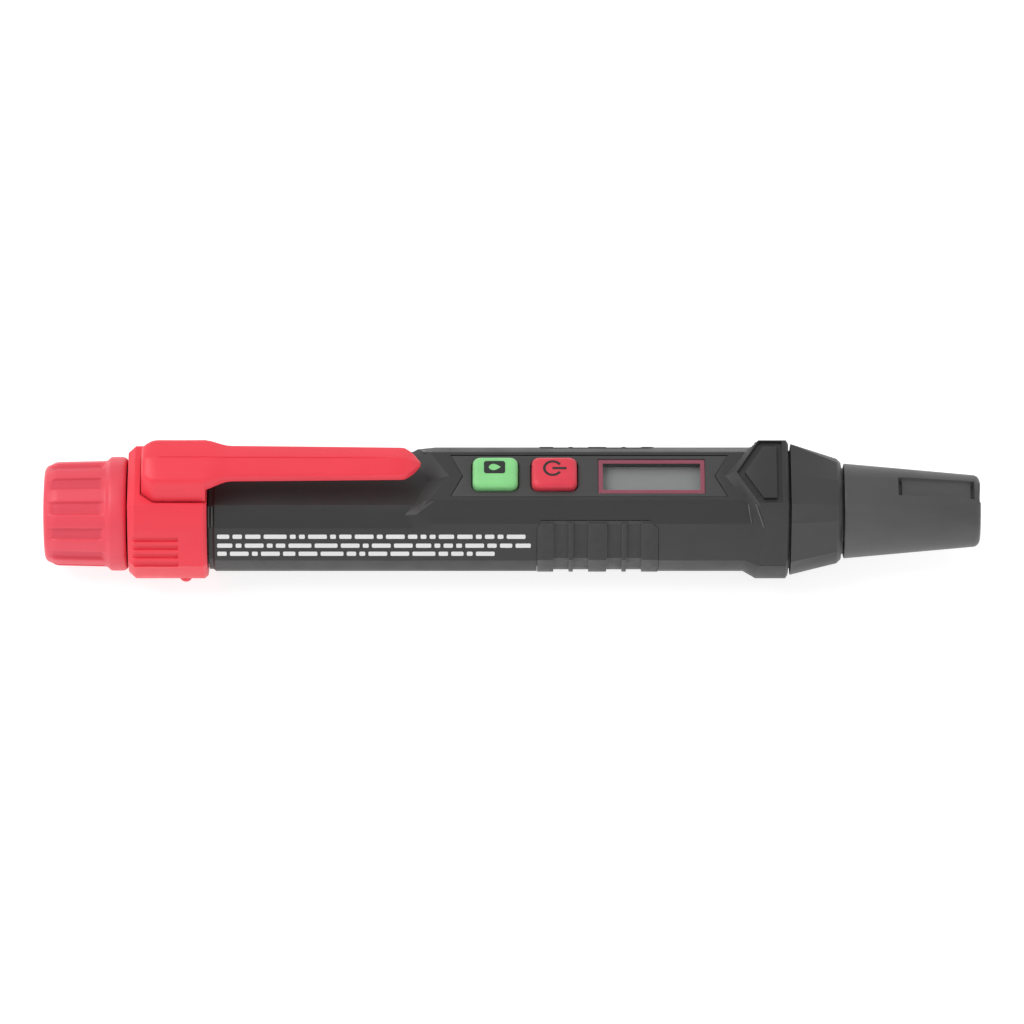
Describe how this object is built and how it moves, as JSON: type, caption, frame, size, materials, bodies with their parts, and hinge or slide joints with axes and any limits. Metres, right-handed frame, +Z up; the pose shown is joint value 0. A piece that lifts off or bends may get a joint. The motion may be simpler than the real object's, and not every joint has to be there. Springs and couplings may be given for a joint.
{
  "type": "digital ph meter",
  "caption": "Pen-type digital pH meter lying on its back: faceted black casing with display and keys, red screw cap, collar and pocket clip, tapered pull-off probe cap.",
  "frame": {"origin": "under the middle of the pen, on the surface that it lies on", "axes": "+X along the pen from the battery cap to the probe cap, +Y across it, +Z up out of the display"},
  "size_m": [0.16, 0.0238, 0.0265],
  "materials": {
    "black_abs": "satin moulded, finely grained",
    "red_abs": "satin moulded",
    "red_rubber": "soft satin key",
    "green_rubber": "soft satin key",
    "grip_rubber": "matt, ribbed",
    "overlay_film": "smooth film",
    "border_ink": "printed line",
    "clear_plastic": "clear",
    "lcd_grey": "blank display",
    "white_plastic": "plain",
    "seal_rubber": "smooth",
    "black_nylon": "plain",
    "board_green": "solder mask",
    "chip_black": "plain",
    "steel": "plain",
    "brass": "plain",
    "cell_wrap": "plain sleeve",
    "glass": "thin glass",
    "ceramic": "porous ceramic plug"
  },
  "bodies": {
    "housing": {"front_shell": "black_abs", "rear_shell": "black_abs", "face_overlay": "overlay_film", "display_window": "clear_plastic", "window_border": "border_ink", "lcd_panel": "lcd_grey", "lcd_reflector": "white_plastic", "lcd_connector_strip": "seal_rubber", "main_board": "board_green", "controller_chip": "chip_black", "amplifier_chip": "chip_black", "electrode_connector": "white_plastic", "board_carrier": "white_plastic", "shell_screw_1": "steel", "shell_screw_2": "steel", "function_switch": "chip_black", "power_switch": "chip_black", "battery_tube": "black_nylon", "battery_cell_rear": "cell_wrap", "battery_cell_front": "cell_wrap", "front_contact": "brass", "return_strip": "brass", "tail_seal": "seal_rubber", "tail_collar": "red_abs", "clip_base": "red_abs", "grip_left": "grip_rubber", "grip_right": "grip_rubber", "nose_gasket": "seal_rubber", "nose_cone": "black_abs", "electrode_body": "black_abs", "glass_electrode": "glass", "reference_wire": "steel", "reference_junction": "ceramic", "probe_seal": "seal_rubber"},
    "clip": {"clip_arm": "red_abs"},
    "power_key": {"power_button": "red_rubber", "power_plunger": "white_plastic"},
    "function_key": {"function_button": "green_rubber", "function_plunger": "white_plastic"},
    "probe_cover": {"probe_cap": "black_abs"},
    "cap_carriage": {"cap_contact": "brass", "cap_spring": "steel"},
    "screw_cap": {"battery_cap": "red_abs"}
  },
  "joints": [
    {"name": "clip_flex", "type": "hinge", "parent": "housing", "child": "clip", "pos_m": [-0.0518, 0, 0.0249], "axis": [0, -1, 0], "range_deg": [0, 6], "stiffness_Nm_per_rad": 0.4},
    {"name": "power_press", "type": "slide", "parent": "housing", "child": "power_key", "axis": [0, 0, -1], "range_m": [0, 0.0003], "stiffness_N_per_m": 1500},
    {"name": "function_press", "type": "slide", "parent": "housing", "child": "function_key", "axis": [0, 0, -1], "range_m": [0, 0.0003], "stiffness_N_per_m": 1500},
    {"name": "probe_cap_pull", "type": "slide", "parent": "housing", "child": "probe_cover", "axis": [1, 0, 0], "range_m": [0, 0.03]},
    {"name": "cap_lift", "type": "slide", "parent": "housing", "child": "cap_carriage", "axis": [-1, 0, 0], "range_m": [0, 0.0061]},
    {"name": "cap_turn", "type": "hinge", "parent": "cap_carriage", "child": "screw_cap", "pos_m": [-0.073, 0, 0.0101], "axis": [-1, 0, 0], "range_deg": [0, 1440]}
  ],
  "couplings": [
    {"joint": "cap_lift", "follows": "cap_turn", "m_per_rad": 0.00023873}
  ]
}
